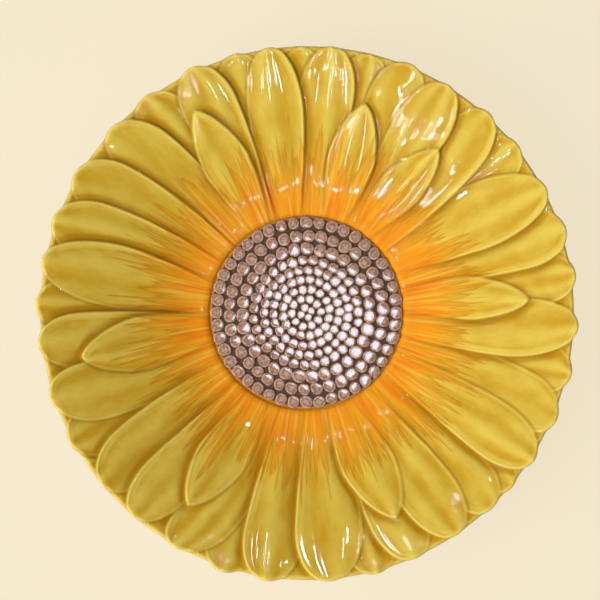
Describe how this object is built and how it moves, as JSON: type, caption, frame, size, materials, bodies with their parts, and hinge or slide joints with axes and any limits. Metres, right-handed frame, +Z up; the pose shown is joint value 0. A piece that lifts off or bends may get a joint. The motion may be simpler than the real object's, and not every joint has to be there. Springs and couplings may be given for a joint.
{
  "type": "sunflower-shaped ceramic dish",
  "caption": "Shallow round glazed earthenware serving dish shaped as a sunflower, with moulded petals round a beaded seed disc, on a foot ring.",
  "frame": {"origin": "middle of the outline on the surface the foot ring rests on", "axes": "+Z up out of the bowl, +Y the way that is up in the picture, +X to its right"},
  "size_m": [0.3535, 0.3489, 0.0576],
  "materials": {
    "yellow_glaze": "glossy transparent yellow glaze over earthenware, orange brushwork round the disc",
    "brown_glaze": "glossy translucent brown glaze over raised beads"
  },
  "bodies": {
    "root": {"petal_dish": "yellow_glaze", "seed_disc": "brown_glaze"}
  },
  "joints": []
}
